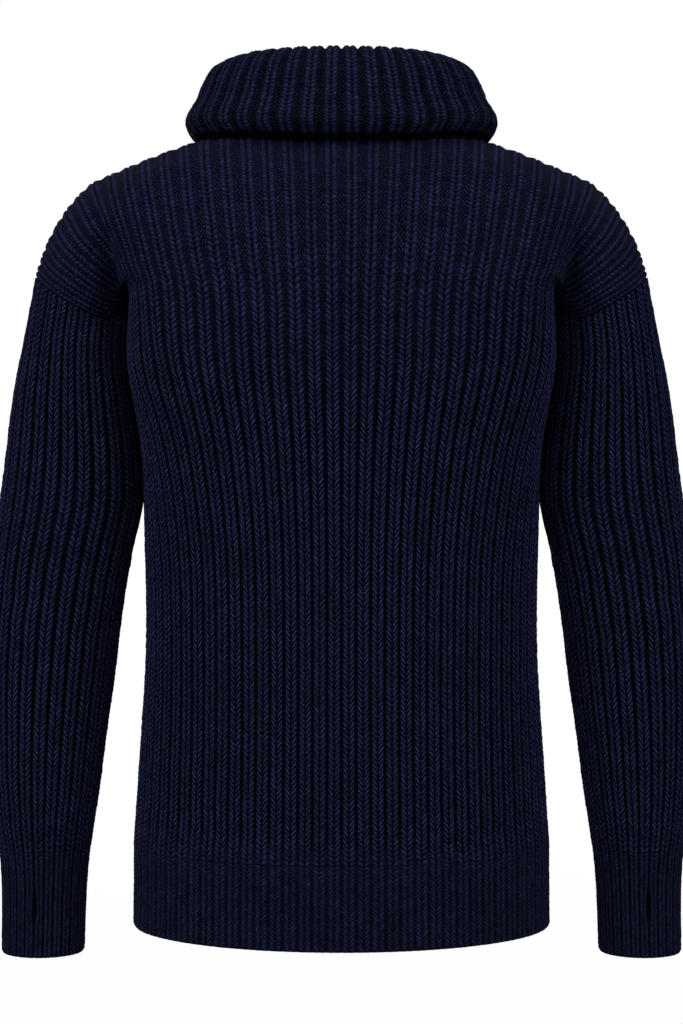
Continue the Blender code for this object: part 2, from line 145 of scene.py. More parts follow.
HemRing = namedtuple("HemRing", "z half_width back front")
HEM_RINGS = table(
    HemRing,
    (BAND_TOP_Z, 176.2, 103.8, 103.8),
    (HEM_Z, 176.6, 104.6, 104.6),
)
HEM_SQUARENESS = 0.55
CollarRing = namedtuple("CollarRing", "half_width back front z_back z_side z_front")
COLLAR_RINGS = table(
    CollarRing,
    (82, 59, 64, 38, 43, 22),
    (88, 58, 64, 62, 62, 50),
    (97, 65, 73, 71.5, 70, 60),
    (109, 76, 86, 66, 65.5, 53),
    (118, 87, 98, 46, 53, 32),
    (123.5, 92, 104, 27, 39, 11),
    (132.0, 97, 110, 8, 24.5, -12),
    (134.0, 98, 112, 2, 16.8, -21),
    (131.0, 97, 111, -4, 8.8, -30),
)
COLLAR_ROUNDNESS = 2.3

# ---- how finely surfaces are drawn
FINE = 8  # columns of a crown surface to a rib
PANEL_ROWS = 201
HEM_ROWS = 25
SLEEVE_ROWS = 161
CUFF_ROWS = 31
COLLAR_ROWS = 81
SLEEVE_RING_POINTS = 721
COLLAR_RING_POINTS = 1441
ARMHOLE_POINTS = 241
COURSE_POINTS = 160
CAP_POINTS = 80
SOFTENED_STEPS = 400
BODY_INNER_ROWS = 42  # about how many rows the plain insides have
SLEEVE_INNER_ROWS = 34
COLLAR_INNER_ROWS = 16
BAND_INNER_ROWS = 8

# ---- sizes of the knitting
BODY_STITCHES = 155  # stitches up a panel, and how many of them have three rows of points
BODY_COARSE = 110
STRANDS_FROM = (90, 116)  # the stitches over which the legs turn to strands, by the armpits
SLEEVE_STITCHES = 99
COLLAR_STITCHES = 48
HEM_STITCHES = 20
CUFF_STITCHES = 25
COARSE_ROWS = ((0.0, 0.0), (0.24, 0.85), (0.74, 1.0))  # place in the stitch and how high it is
FINE_ROWS = ((0.0, 0.0), (0.5, 1.0))
NARROW_PITCH = 12.3  # rib pitch where the gutters are narrow, and how wide the columns are there
NARROW_COLUMN = 0.76
COLUMN_FALL = 0.044  # how fast the columns' share falls as the knit is spread
COLUMN_LEAST = 0.56
COLUMN_MOST = 0.78
JOIN_STITCHES = 5  # over how many stitches the ribs sink to those of the band below
SEAM_CREST = 0.85  # height of the crests beside a seam, and over how many stitches
SEAM_CREST_REACH = 1.5
SEAM_SPREAD = 0.8  # how spread the knit looks beside a seam, and over how many stitches
SEAM_SPREAD_REACH = 6.0
SEAM_CLEARING = 0.03  # the share of the sleeve's rows that step clear of the armhole seam
END_REACH = 2.0  # stitches from an end over which the zigzag starts
GUTTER_SHARE = 0.75  # how near to the column the gutter's outer points lie
GUTTER_CREST = 0.05
GUTTER_LIFT = 0.40  # how far the gutters' floors rise where the knit is spread
SWAY = 0.012  # how far ribs wander, in ribs, and over how many rows
SWAY_ROWS = 9
SPREAD_START = 0.15  # where a wider pitch starts to look spread, and over what range
SPREAD_RANGE = 0.65
STRANDS_MOST = 0.85
LEVEL_RISE = 0.70  # the rise that leaves a point in its row
RISE_LOST = 0.65  # the shares of the rise and of the creases lost where it is spread
CREASE_LOST = 0.85
RISE_NOISE = 0.03
STITCH_NOISE = 0.045
TRACK_NOISE = 0.6
COLUMN_FROM = 0.3  # layers higher than this vary from stitch to stitch
# on a rolled edge the relief only sets the painted shade of its rows
RIM_ROWS = 3  # rows of a rolled edge, their share of the relief, and how far they stand out
RIM_RELIEF = 0.6
BAND_ROLL = 1.6
COLLAR_ROLL = 3.0
# the plain insides' relief and spread only set their painted shade and look in the wool
INNER_RELIEF = 0.55  # how the plain insides are shaded
INNER_SPREAD = 0.8
RELIEF_MOST = 1.2

StitchHeight = namedtuple("StitchHeight", "share height")
EVEN = [StitchHeight(0.0, 1.0), StitchHeight(1.0, 1.0)]
BODY_HEIGHTS = table(
    StitchHeight,
    (0.00, 4.30),
    (0.15, 4.40),
    (0.32, 4.65),
    (0.58, 4.75),
    (0.72, 4.40),
    (0.82, 3.95),
    (0.90, 3.50),
    (1.00, 3.30),
)

# across a rib, from its gutter: place in the gutter's or the column's half width, texture
# coordinate, height over the gutter's floor, height lost in the crease, and rise in stitches
Layer = namedtuple("Layer", "kind place u height crease rise")
SIX = table(
    Layer,
    ("gutter", 0.0, 0.00, 0.00, 0.00, 1.60),
    ("column", 0.84, 0.26, 0.88, 0.32, 1.22),
    ("column", 0.36, 0.39, 1.00, 0.34, 0.54),
    ("column", 0.0, 0.50, 0.50, 0.20, 0.00),
)
EIGHT = [
    Layer("gutter", 0.0, 0.00, 0.00, 0.00, 1.65),
    Layer("gutter", 1.0, 0.16, 0.16, 0.04, 1.45),
] + SIX[1:]
FOLDED = table(
    Layer,
    ("gutter", 0.0, 0.00, 0.00, 0.00, 1.65),
    ("gutter", 1.0, 0.16, 0.42, 0.06, 1.45),
    ("column", 0.84, 0.26, 0.86, 0.10, 1.22),
    ("column", 0.36, 0.39, 1.00, 0.10, 0.54),
    ("column", 0.0, 0.50, 0.72, 0.20, 0.00),
)
COLLAR_TUCK = 6.0  # how far the collar's lower edge turns in, over its last rows
COLLAR_TUCK_SHARE = 0.13

# soft troughs in the worn cloth: where their middle is, how they lie (degrees from level), and
# how long, wide and deep they are
TROUGH_BOW = 5.0  # how far a trough bends aside, and how fast along its length
TROUGH_TURN = 2.2
Trough = namedtuple("Trough", "x z turn length width depth")
BACK_TROUGHS = table(
    Trough,
    (150, -176, 62, 46, 9, 2.6),
    (-146, -190, -58, 40, 8, 2.2),
    (128, -232, 66, 30, 7, 1.3),
    (112, -556, 14, 44, 9, 1.5),
    (-96, -570, -9, 52, 8, 1.7),
    (14, -549, 5, 30, 7, 0.9),
)
FRONT_TROUGHS = table(
    Trough,
    (142, -170, 58, 42, 9, 2.4),
    (-150, -182, -63, 48, 9, 2.7),
    (-118, -238, -60, 28, 7, 1.4),
    (-108, -561, -12, 46, 9, 1.6),
    (88, -548, 10, 38, 8, 1.3),
    (-20, -573, 4, 34, 7, 1.0),
)
SLEEVE_TROUGHS = table(
    Trough,
    (226, -348, 34, 30, 8, 2.8),
    (262, -374, -16, 34, 9, 2.2),
    (224, -402, 38, 28, 8, 2.9),
    (250, -428, 24, 32, 8, 1.9),
    (256, -560, 9, 24, 6, 1.3),
    (240, -578, -12, 20, 5, 1.1),
)
Slit = namedtuple("Slit", "rib first last open deep")
CUFF_SLIT = Slit(6, 6.4, 15.4, 0.23, 2.0)
SLIT_FLOOR = 0.12  # about half the width of the slit's floor, in ribs


# ---- curves
def lengths(line):
    """Distance along a polyline at each of its points."""
    steps = np.linalg.norm(np.diff(line, axis=0), axis=1)
    return np.concatenate([[0.0], np.cumsum(steps)])


def at_shares(line, shares):
    """Points of a polyline at the given shares of its length."""
    along = lengths(line)
    targets = np.asarray(shares) * along[-1]
    return np.stack([np.interp(targets, along, line[:, axis]) for axis in range(3)], axis=1)


def bezier(points, count=COURSE_POINTS):
    """A Bezier curve of any degree through its two end points."""
    points = np.asarray(points, dtype=float)
    u = np.linspace(0.0, 1.0, count)[:, None, None]
    level = np.broadcast_to(points, (count,) + points.shape)
    while level.shape[1] > 1:
        level = level[:, :-1] * (1.0 - u) + level[:, 1:] * u
    return level[:, 0]


def soften(line, reach):
    """Round the corners of a polyline over about reach millimetres, with its ends kept."""
    line = at_shares(line, np.linspace(0.0, 1.0, SOFTENED_STEPS + 1))
    step = lengths(line)[-1] / SOFTENED_STEPS
    for _ in range(int((reach / step) ** 2 / 2)):
        line[1:-1] = 0.25 * line[:-2] + 0.5 * line[1:-1] + 0.25 * line[2:]
    return line


def spline(knots, rows, where):
    """Smooth interpolation between whole rows of points, placed at uneven knots."""
    knots = np.asarray(knots, dtype=float)
    rows = np.asarray(rows, dtype=float)
    spans = np.diff(knots)[:, None, None]
    slopes = np.diff(rows, axis=0) / spans
    tangents = np.empty_like(rows)
    tangents[0] = slopes[0]
    tangents[-1] = slopes[-1]
    tangents[1:-1] = (slopes[:-1] * spans[1:] + slopes[1:] * spans[:-1]) / (spans[1:] + spans[:-1])
    index = np.clip(np.searchsorted(knots, where, side="right") - 1, 0, len(knots) - 2)
    h = (knots[index + 1] - knots[index])[:, None, None]
    u = ((where - knots[index]) / h[:, 0, 0])[:, None, None]
    return (
        rows[index] * (1 + 2 * u) * (1 - u) ** 2
        + rows[index + 1] * u**2 * (3 - 2 * u)
        + tangents[index] * h * u * (1 - u) ** 2
        - tangents[index + 1] * h * u**2 * (1 - u)
    )


def normalized(vectors):
    """The same directions, with a length of 1."""
    size = np.linalg.norm(vectors, axis=-1, keepdims=True)
    return vectors / np.maximum(size, TINY)


def smooth_step(x):
    """Rises from 0 to 1 with level ends."""
    x = np.clip(x, 0.0, 1.0)
    return x * x * (3 - 2 * x)


def grid_normals(grid, closed):
    """Outward normals of a grid whose rows run upward and whose columns run from +X through +Y."""
    if closed:
        wide = np.concatenate([grid[:, -1:], grid, grid[:, :1]], axis=1)
        across = np.gradient(wide, axis=1)[:, 1:-1]
    else:
        across = np.gradient(grid, axis=1)
    along = np.gradient(grid, axis=0)
    return normalized(np.cross(across, along))


# ---- the body's surface
def armhole_line(back=1.0):
    """The armhole seam of one quarter as a smooth polyline, armpit first."""
    points = np.array([(p.x, p.y * back, p.z) for p in ARMHOLE], dtype=float)
    knots = lengths(points)
    fine = np.linspace(0.0, knots[-1], ARMHOLE_POINTS)
    return spline(knots, points[:, None, :], fine)[:, 0]


def face_shares(shares, face_pitch):
    """Shares that widen the ribs on the front and back faces of a sleeve by face_pitch."""
    return shares - face_pitch / (4 * np.pi) * np.sin(4 * np.pi * shares)


def ring_line(half_width, depth, z_mid, z_side, squareness):
    """A quarter of a body ring, from the centre line to the side seam."""
    return bezier([
        (0.0, depth, z_mid),
        (squareness * half_width, depth, z_mid + squareness * (z_side - z_mid) / 2),
        (half_width, squareness * depth, z_side),
        (half_width, 0.0, z_side),
    ])


def yoke_line(row, depth, back, edge):
    """A course above the armpit, from the centre line to the armhole seam."""
    middle = np.array([0.0, depth * back, row.z_mid])
    corner = np.array([row.corner_x, row.corner_y * back, row.corner_z])
    fold = np.array([row.fold_x, row.fold_y * back, row.fold_z])
    cap = np.array([row.cap_x, row.cap_y * back, row.cap_z])
    start = middle + row.reach * (corner - middle) * (1, 1, CORNER_LEVEL)
    near_fold = fold + row.reach * (corner - fold)
    body_part = bezier([middle, start, near_fold, fold])
    cap_part = bezier([fold, cap, edge], CAP_POINTS)
    return soften(np.concatenate([body_part, cap_part[1:]]), FOLD_ROUNDING)


def rib_shares(ribs, crowding):
    """Where ribs lie along a course, as shares of its length; crowding narrows the outer ones."""
    x = np.abs(ribs) / BODY_RIBS
    return x + crowding * (x - x**CROWDING_POWER)


def panel_ribs(back):
    """Signed rib numbers at a panel's columns, which run so that its faces point outward."""
    return np.arange(-FINE * BODY_RIBS, FINE * BODY_RIBS + 1) / FINE * -back


def side_of(ribs):
    """1 in the middle and on the +X side, -1 on the other."""
    return np.sign(ribs) + (ribs == 0)


def depth_on(row, back):
    """How deep a row of a table is at the back (back 1) or the front (back -1)."""
    return row.back if back > 0 else row.front


def panel_courses(back, ribs):
    """The key courses of a panel's +X half: their levels, and their points at the given ribs."""
    levels = []
    rows = []
    for ring in BODY_RINGS:
        depth = depth_on(ring, back)
        line = ring_line(ring.half_width, depth * back, ring.z_mid, ring.z_side, ring.squareness)
        rows.append(at_shares(line, rib_shares(ribs, ring.crowding)))
        levels.append(ring.course)
    seam = armhole_line(back)
    for course in YOKE_COURSES:
        share = (course.course - ARMPIT_COURSE) / (1.0 - ARMPIT_COURSE)
        edge = at_shares(seam, [share])[0]
        depth = depth_on(course, back)
        line = yoke_line(course, depth, back, edge)
        rows.append(at_shares(line, rib_shares(ribs, course.crowding)))
        levels.append(course.course)
    return levels, rows


def scoop(ribs, depth):
    """The highest course at each rib: 1 on the shoulders, less in the neck scoop."""
    inside = np.clip(1.0 - (np.abs(ribs) / NECK_RIBS) ** 2, 0.0, 1.0)
    return 1.0 - depth * inside**SCOOP_POWER


def neck_levels(courses, top):
    """Courses of one rib, with the last ones drawn together below the neck scoop."""
    start = NECK_SHAPING_COURSE
    above = np.clip((courses - start) / (1.0 - start), 0.0, 1.0)
    return np.where(courses > start, start + above * (top - start), courses)


def panel_surface(back, ribs, courses):
    """Points of a panel at signed rib numbers and at courses that are shares of its height."""
    levels, rows = panel_courses(back, ribs)
    rows = np.array(rows)
    rows[:, :, 0] *= side_of(ribs)
    top = scoop(ribs, BACK_SCOOP if back > 0 else FRONT_SCOOP)
    points = np.empty((len(courses), len(ribs), 3))
    for column in range(len(ribs)):
        where = neck_levels(courses, top[column])
        points[:, column] = spline(levels, rows[:, column:column + 1], where)[:, 0]
    return points


def rim_directions(points):
    """Which way the knit faces along the armhole seam: away from the arm, or down in the armpit."""
    radial = np.stack([
        (points[:, 0] - ARM_CENTRE_X) / ARM_HALF[0] ** 2,
        points[:, 1] / ARM_HALF[1] ** 2,
        np.zeros(len(points)),
    ], axis=1)
    share = smooth_step(np.abs(points[:, 1]) / ARMPIT_TURN)
    share = np.where(points[:, 0] > ARM_CENTRE_X, 1.0, share)[:, None]
    down = np.array([0.0, 0.0, -1.0])
    return normalized(share * normalized(radial) + (1.0 - share) * down)


# ---- smooth crown surfaces
Crown = namedtuple("Crown", "points normals closed ribs")


def creased(points, normals, troughs, side):
    """Presses soft troughs into the back (side 1) or the front (side -1) of a crown surface."""
    facing = np.clip(normals[..., 1] * side, 0.0, 1.0)
    sunk = np.zeros(facing.shape)
    for item in troughs:
        turn = np.radians(item.turn)
        x = points[..., 0] - item.x
        z = points[..., 2] - item.z
        along = (x * np.cos(turn) + z * np.sin(turn)) / item.length
        bow = TROUGH_BOW * np.cos(TROUGH_TURN * along)
        across = (z * np.cos(turn) - x * np.sin(turn) + bow) / item.width
        sunk += item.depth * np.exp(-(along**2) - across**2)
    return points - normals * (sunk * facing)[..., None]


def panel_crown(back):
    """The surface over the rib crowns of a panel: rows are courses, columns are ribs."""
    ribs = panel_ribs(back)
    courses = np.linspace(0.0, 1.0, PANEL_ROWS)
    crown = panel_surface(back, ribs, courses)
    normals = grid_normals(crown, closed=False)
    normals[0, :, 2] = 0.0
    yoke = courses >= ARMPIT_COURSE
    share = (courses[yoke] - ARMPIT_COURSE) / (1.0 - ARMPIT_COURSE)
    seam = at_shares(armhole_line(back), share)
    for edge, sign in ((0, back), (-1, -back)):
        mirror = np.array([sign, 1.0, 1.0])
        crown[yoke, edge] = seam * mirror
        normals[yoke, edge] = rim_directions(seam) * mirror
        normals[~yoke, edge, 1] = 0.0
    shoulder = np.abs(ribs) >= NECK_RIBS
    normals[-1, shoulder, 1] = 0.0
    neck = np.abs(ribs) <= NECK_RIBS + NECK_TURN_RIBS
    normals[-1, neck] = crown[-1, neck] * (1.0, 1.0, 0.0)
    normals = normalized(normals)
    crown = creased(crown, normals, BACK_TROUGHS if back > 0 else FRONT_TROUGHS, back)
    crown[0, :, 2] -= 2 * SEAM_GAP
    shift = np.array([0.0, back * SEAM_GAP / 2, 0.0])
    return Crown(crown + shift, normals, False, 2 * BODY_RIBS)


def hem_crown(back):
    """The surface over the rib crowns of a hem band."""
    ribs = panel_ribs(back)
    rows = []
    for ring in reversed(HEM_RINGS):
        depth = depth_on(ring, back) * back
        line = ring_line(ring.half_width, depth, ring.z, ring.z, HEM_SQUARENESS)
        row = at_shares(line, rib_shares(ribs, 0.0))
        row[:, 0] *= side_of(ribs)
        rows.append(row)
    crown = np.array(rows)
    crown[-1, :, 2] -= SEAM_GAP
    crown = spline([0.0, 1.0], crown, np.linspace(0.0, 1.0, HEM_ROWS))
    normals = grid_normals(crown, closed=False)
    normals[:, :, 2] = 0.0
    normals[:, (0, -1), 1] = 0.0
    shift = np.array([0.0, back * SEAM_GAP / 2, 0.0])
    return Crown(crown + shift, normalized(normals), False, 2 * BODY_RIBS)


def sleeve_ring(ring, shares):
    """Points round a sleeve at shares of the way from its outer side through the back."""
    angle = np.linspace(0.0, 2 * np.pi, SLEEVE_RING_POINTS)
    cosine = np.cos(angle)
    sine = np.sin(angle)
    power = np.where(cosine < 0.0, 2.0 / ring.inner_power, 1.0)
    x = (ring.x_out - ring.x_in) / 2 * np.sign(cosine) * np.abs(cosine) ** power
    y = ring.half_depth * np.sign(sine) * np.abs(sine) ** power
    middle = (ring.x_out + ring.x_in) / 2
    line = np.stack([middle + x, ring.y_mid + y, ring.z + ring.tilt * x], axis=1)
    return at_shares(line, face_shares(shares, ring.face_pitch))


def sleeve_seam(shares):
    """The armhole seam at the sleeve's shares, from the shoulder through the back."""
    half = np.minimum(shares, 1.0 - shares)
    along = 1.0 - 2.0 * face_shares(half, SLEEVE_RINGS[0].face_pitch)
    seam = at_shares(armhole_line(1.0), along)
    seam[:, 1] *= np.where(shares > 0.5, -1.0, 1.0)
    return seam


def loop_shares(ribs):
    """Shares of the way round a tube at the columns of its crown surface."""
    return np.arange(FINE * ribs) / (FINE * ribs)


def tube_crown(knots, rows, count):
    """The surface over a tube's rib crowns, lower end first, and its normals."""
    levels = np.linspace(knots[0], knots[-1], count)
    crown = spline(knots, rows, levels)[::-1]
    normals = grid_normals(crown, closed=True)
    normals[0, :, 2] = 0.0
    return crown, normals


def sleeve_crown():
    """The surface over the rib crowns of the +X sleeve."""
    shares = loop_shares(SLEEVE_RIBS)
    seam = sleeve_seam(shares)
    rows = np.array([seam] + [sleeve_ring(ring, shares) for ring in SLEEVE_RINGS])
    knots = [-seam[:, 2].mean()] + [-ring.z for ring in SLEEVE_RINGS]
    crown, normals = tube_crown(knots, rows, SLEEVE_ROWS)
    normals[-1] = rim_directions(crown[-1])
    places = np.linspace(0.0, 1.0, SLEEVE_ROWS)
    top = smooth_step((places - (1.0 - SEAM_CLEARING)) / SEAM_CLEARING)[:, None, None]
    crown = crown + top * np.array([SEAM_GAP, 0.0, -SEAM_GAP])
    normals = normalized(normals)
    crown = creased(crown, normals, SLEEVE_TROUGHS, 1.0)
    crown = creased(crown, normals, SLEEVE_TROUGHS[::2], -1.0)
    crown[0, :, 2] -= 2 * SEAM_GAP
    return Crown(crown, normals, True, SLEEVE_RIBS)


def cuff_crown():
    """The surface over the rib crowns of the +X cuff."""
    shares = loop_shares(SLEEVE_RIBS)
    rows = np.array([sleeve_ring(ring, shares) for ring in CUFF_RINGS])
    rows[0, :, 2] -= SEAM_GAP
    knots = -np.array([ring.z for ring in CUFF_RINGS])
    crown, normals = tube_crown(knots, rows, CUFF_ROWS)
    normals[-1, :, 2] = 0.0
    return Crown(crown, normalized(normals), True, SLEEVE_RIBS)


def collar_ring(ring, angle):
    """Points round the collar, at angles from its +X side through the back."""
    power = 2.0 / COLLAR_ROUNDNESS
    cosine = np.cos(angle)
    sine = np.sin(angle)
    depth = np.where(sine > 0, ring.back, ring.front)
    z_end = np.where(sine > 0, ring.z_back, ring.z_front)
    x = ring.half_width * np.sign(cosine) * np.abs(cosine) ** power
    y = depth * np.sign(sine) * np.abs(sine) ** power
    z = ring.z_side + (z_end - ring.z_side) * sine**2
    return np.stack([x, y, z], axis=1)


def neckline():
    """The neck edge of both panels as one closed loop, from the centre back through -X."""
    ribs = np.arange(0, FINE * NECK_RIBS + 1) / FINE
    back = panel_surface(1.0, -ribs, np.array([1.0]))[0]
    front = panel_surface(-1.0, -ribs[::-1], np.array([1.0]))[0]
    half = np.concatenate([back, front[1:]])
    return np.concatenate([half, (half * (-1, 1, 1))[-2::-1]])


def collar_crown():
    """Rows run from the neck seam up the inner side, over the fold and down the outside."""
    shares = loop_shares(COLLAR_RIBS)
    angle = np.linspace(np.pi / 2, 5 * np.pi / 2, COLLAR_RING_POINTS)
    seam = at_shares(neckline(), shares)
    outward = normalized(seam * (1.0, 1.0, 0.0))
    seam += np.array([0.0, 0.0, NECK_SEAM_GAP]) - WALL * outward
    rows = [seam] + [at_shares(collar_ring(ring, angle), shares) for ring in COLLAR_RINGS]
    rows = np.array(rows)
    steps = np.linalg.norm(np.diff(rows, axis=0), axis=2).mean(axis=1)
    knots = np.concatenate([[0.0], np.cumsum(steps)])
    crown = spline(knots, rows, np.linspace(0.0, knots[-1], COLLAR_ROWS))
    places = np.linspace(0.0, 1.0, COLLAR_ROWS)
    turn = np.clip((places - 1.0) / COLLAR_TUCK_SHARE + 1.0, 0.0, 1.0) ** 2
    crown = crown - (COLLAR_TUCK * turn)[:, None, None] * normalized(crown * (1.0, 1.0, 0.0))
    normals = -grid_normals(crown, closed=True)
    normals[0] = -outward
    return Crown(crown, normalized(normals), True, COLLAR_RIBS)


# ---- knitting
def sampled(grid, rows, columns, closed):
    """Values of a grid between its own rows and columns, in straight lines."""
    height, width = grid.shape[:2]
    rows = np.clip(rows, 0, height - 1 - TINY)
    low = np.floor(rows).astype(int)
    if not closed:
        columns = np.clip(columns, 0, width - 1 - TINY)
    left = np.floor(columns).astype(int)
    across = (columns - left)[..., None]
    right = (left + 1) % width
    left = left % width
    up = (rows - low)[..., None]
    below = grid[low, left] * (1 - across) + grid[low, right] * across
    above = grid[low + 1, left] * (1 - across) + grid[low + 1, right] * across
    return below * (1 - up) + above * up


def smooth_noise(rng, rows, columns, step):
    """Noise of about -1 to 1 that changes over `step` rows, one track for each column."""
    keys = rng.normal(0.0, TRACK_NOISE, (rows // step + 3, columns))
    where = np.arange(rows) / step
    low = where.astype(int)
    share = smooth_step(where - low)[:, None]
    return keys[low] * (1 - share) + keys[low + 1] * share


Knit = namedtuple("Knit", "outer inner u v rows relief spread closed ratio row_ratio")


def stitch_marks(crown, stitches, heights):
    """How many stitches lie below each row of a crown surface."""
    steps = np.linalg.norm(np.diff(crown.points, axis=0), axis=2).mean(axis=1)
    shares = (np.arange(len(steps)) + 0.5) / len(steps)
    local = np.interp(shares, *zip(*heights))
    count = np.concatenate([[0.0], np.cumsum(steps / local)])
    return count * stitches / count[-1]


def knitted(crown, stitches, layers, depth, seed, inner_rows, turned=False, heights=EVEN,
            coarse=None, end_depth=None, joined=(False, False), slit=None, lifted=GUTTER_LIFT,
            strands_from=None):
    """Stitch-aligned outer grid and plain inner grid of one piece.

    coarse is how many stitches have three rows of points, where not all do.  end_depth is the
    ribs' depth in the first row, joined says which ends, first and last, meet another piece,
    turned points the stitches the other way, and strands_from is as in STRANDS_FROM.
    """
    rng = np.random.default_rng(SEED + seed)
    layers = layers + layers[-2:0:-1]
    count = len(layers)
    half = count // 2
    row_stitch = []
    crest = []
    for number in range(stitches):
        for place, high in COARSE_ROWS if coarse is None or number < coarse else FINE_ROWS:
            row_stitch.append(number + place)
            crest.append(high)
    row_stitch = np.array(row_stitch + [stitches], dtype=float)
    crest = np.array(crest + [0.0])
    rows = len(row_stitch)
    from_ends = (row_stitch, stitches - row_stitch)
    seams = [distance for end, distance in zip(joined, from_ends) if end]
    for distance in seams:
        crest += (SEAM_CREST - crest) * (1.0 - smooth_step(distance / SEAM_CREST_REACH))
    marks = stitch_marks(crown, stitches, heights)
    columns = crown.ribs * count + (0 if crown.closed else 1)
    index = np.arange(columns)
    layer = index % count
    rib = index // count
    whole_rib = np.minimum(rib, crown.ribs - 1)
    row_numbers = np.arange(len(crown.points))

    # local rib pitch, from the crown surface
    ring = crown.points
    if crown.closed:
        ring = np.concatenate([ring, ring[:, :1]], axis=1)
    steps = np.linalg.norm(np.diff(ring, axis=1), axis=2)
    pitch = steps.reshape(len(ring), crown.ribs, FINE).sum(axis=2)
    share = NARROW_COLUMN - COLUMN_FALL * (pitch - NARROW_PITCH)
    share = np.clip(share, COLUMN_LEAST, COLUMN_MOST) / 2
    row_at = np.interp(row_stitch, marks, row_numbers)
    where = np.meshgrid(row_at, np.arange(crown.ribs), indexing="ij")
    column_half = sampled(share[..., None], *where, True)[..., 0]

    place = np.zeros((rows, columns))
    for i, item in enumerate(layers):
        which = layer == i
        c = column_half[:, whole_rib[which]]
        if item.kind == "gutter":
            across = (0.5 - c) * item.place * GUTTER_SHARE
        else:
            across = 0.5 - c * item.place
        place[:, which] = 1.0 - across if i > half else across
    sway = smooth_noise(rng, rows, crown.ribs + 1, SWAY_ROWS) * SWAY
    inside = smooth_step(np.minimum(*from_ends) / END_REACH)
    place = place + sway[:, rib] * inside[:, None] * (layer > 0)
    position = rib[None, :] + place

    spread = (NARROW_COLUMN - 2 * column_half) / (NARROW_COLUMN - COLUMN_LEAST)
    spread = smooth_step((spread - SPREAD_START) / SPREAD_RANGE)[:, whole_rib]
    if strands_from:
        first, last = strands_from
        drawn = STRANDS_MOST * smooth_step((row_stitch - first) / (last - first))
        spread = np.maximum(spread, drawn[:, None])
    for distance in seams:
        fading = SEAM_SPREAD * (1.0 - smooth_step(distance / SEAM_SPREAD_REACH))
        spread = np.maximum(spread, fading[:, None])
    rise = np.array([item.rise for item in layers]) - LEVEL_RISE
    sign = -1.0 if turned else 1.0
    lift = sign * rise[layer][None, :] * (1.0 - RISE_LOST * spread)
    along = row_stitch[:, None] - lift * (1.0 - inside)[:, None]
    lift = (lift + rng.normal(0.0, RISE_NOISE, (rows, columns))) * inside[:, None]
    v = np.clip(row_stitch[:, None] + lift, 0.0, stitches)
    v[0] = 0.0
    v[-1] = stitches

    top = np.array([item.height for item in layers])[layer][None, :]
    lost = np.array([item.crease for item in layers])[layer][None, :]
    relief = top - lost * (1.0 - crest[:, None]) * (1.0 - CREASE_LOST * spread)
    relief = relief + (layer == 0) * (GUTTER_CREST * crest[:, None] + spread * lifted)
    which_stitch = np.floor(row_stitch).astype(int)
    uneven = rng.normal(0.0, STITCH_NOISE, (stitches + 1, crown.ribs + 1))[which_stitch]
    relief = relief + uneven[:, rib] * (top > COLUMN_FROM)
    # the slit parts the ribs and sinks its floor, whose low relief also paints it nearly black as
    # shade in the wool
    if slit:
        away = position - slit.rib
        share = np.clip((row_stitch - slit.first) / (slit.last - slit.first), 0.0, 1.0)
        window = np.sin(np.pi * share)[:, None]
        near = np.clip(1.0 - np.abs(away), 0.0, 1.0) ** 2
        position = position + np.sign(away) * slit.open * window * near
        relief = relief - slit.deep * window * np.exp(-((away / SLIT_FLOOR) ** 2))

    where = (np.interp(v, marks, row_numbers), position * FINE)
    points = sampled(crown.points, *where, crown.closed)
    normals = normalized(sampled(crown.normals, *where, crown.closed))
    low = depth if end_depth is None else end_depth
    deep = low + (depth - low) * smooth_step(row_stitch / JOIN_STITCHES)
    outer = points - normals * (deep[:, None] * (1.0 - relief))[..., None]

    row_ratio = max(1, (rows - 1) // inner_rows)
    while (rows - 1) % row_ratio:
        row_ratio -= 1
    inner_ribs = np.arange(crown.ribs + (0 if crown.closed else 1)) * float(FINE)
    where = np.meshgrid(row_at[::row_ratio], inner_ribs, indexing="ij")
    inner = sampled(crown.points, *where, crown.closed)
    inner = inner - normalized(sampled(crown.normals, *where, crown.closed)) * WALL
    u = rib + np.array([item.u if i <= half else 1.0 - item.u for i, item in enumerate(layers)])[layer]
    return Knit(outer, inner, u, along, row_stitch, relief, spread, crown.closed, count, row_ratio)


def with_rolled_edge(knit, last, reach):
    """Turns the outer grid's first or last edge round towards the inner grid, as a soft rim."""
    edge = -1 if last else 0
    before = -1 - RIM_ROWS if last else RIM_ROWS
    outer_edge = knit.outer[edge]
    inner_edge = knit.inner[edge]
    where = np.arange(len(outer_edge)) / knit.ratio
    low = np.floor(where).astype(int)
    high = (low + 1) % len(inner_edge) if knit.closed else np.minimum(low + 1, len(inner_edge) - 1)
    share = (where - low)[:, None]
    inner_fine = inner_edge[low] * (1 - share) + inner_edge[high] * share
    local = outer_edge - knit.outer[before]
    away = normalized(local.mean(axis=0)[None, :])
    outward = (normalized(local) + away) / 2
    middle = (outer_edge + inner_fine) / 2
    arm = (outer_edge - inner_fine) / 2
    turns = []
    for row in range(1, RIM_ROWS + 1):
        bend = np.pi * row / (RIM_ROWS + 1)
        turns.append(middle + arm * np.cos(bend) + outward * np.sin(bend) * reach)
    step = np.arange(1, RIM_ROWS + 1)[:, None] / RIM_ROWS

    def extended(rows, more):
        return np.concatenate([rows, more] if last else [more[::-1], rows])

    return knit._replace(
        outer=extended(knit.outer, np.array(turns)),
        v=extended(knit.v, knit.v[edge] + (step if last else -step)),
        relief=extended(knit.relief, np.tile(knit.relief[edge] * RIM_RELIEF, (RIM_ROWS, 1))),
        spread=extended(knit.spread, np.tile(knit.spread[edge], (RIM_ROWS, 1))),
    )


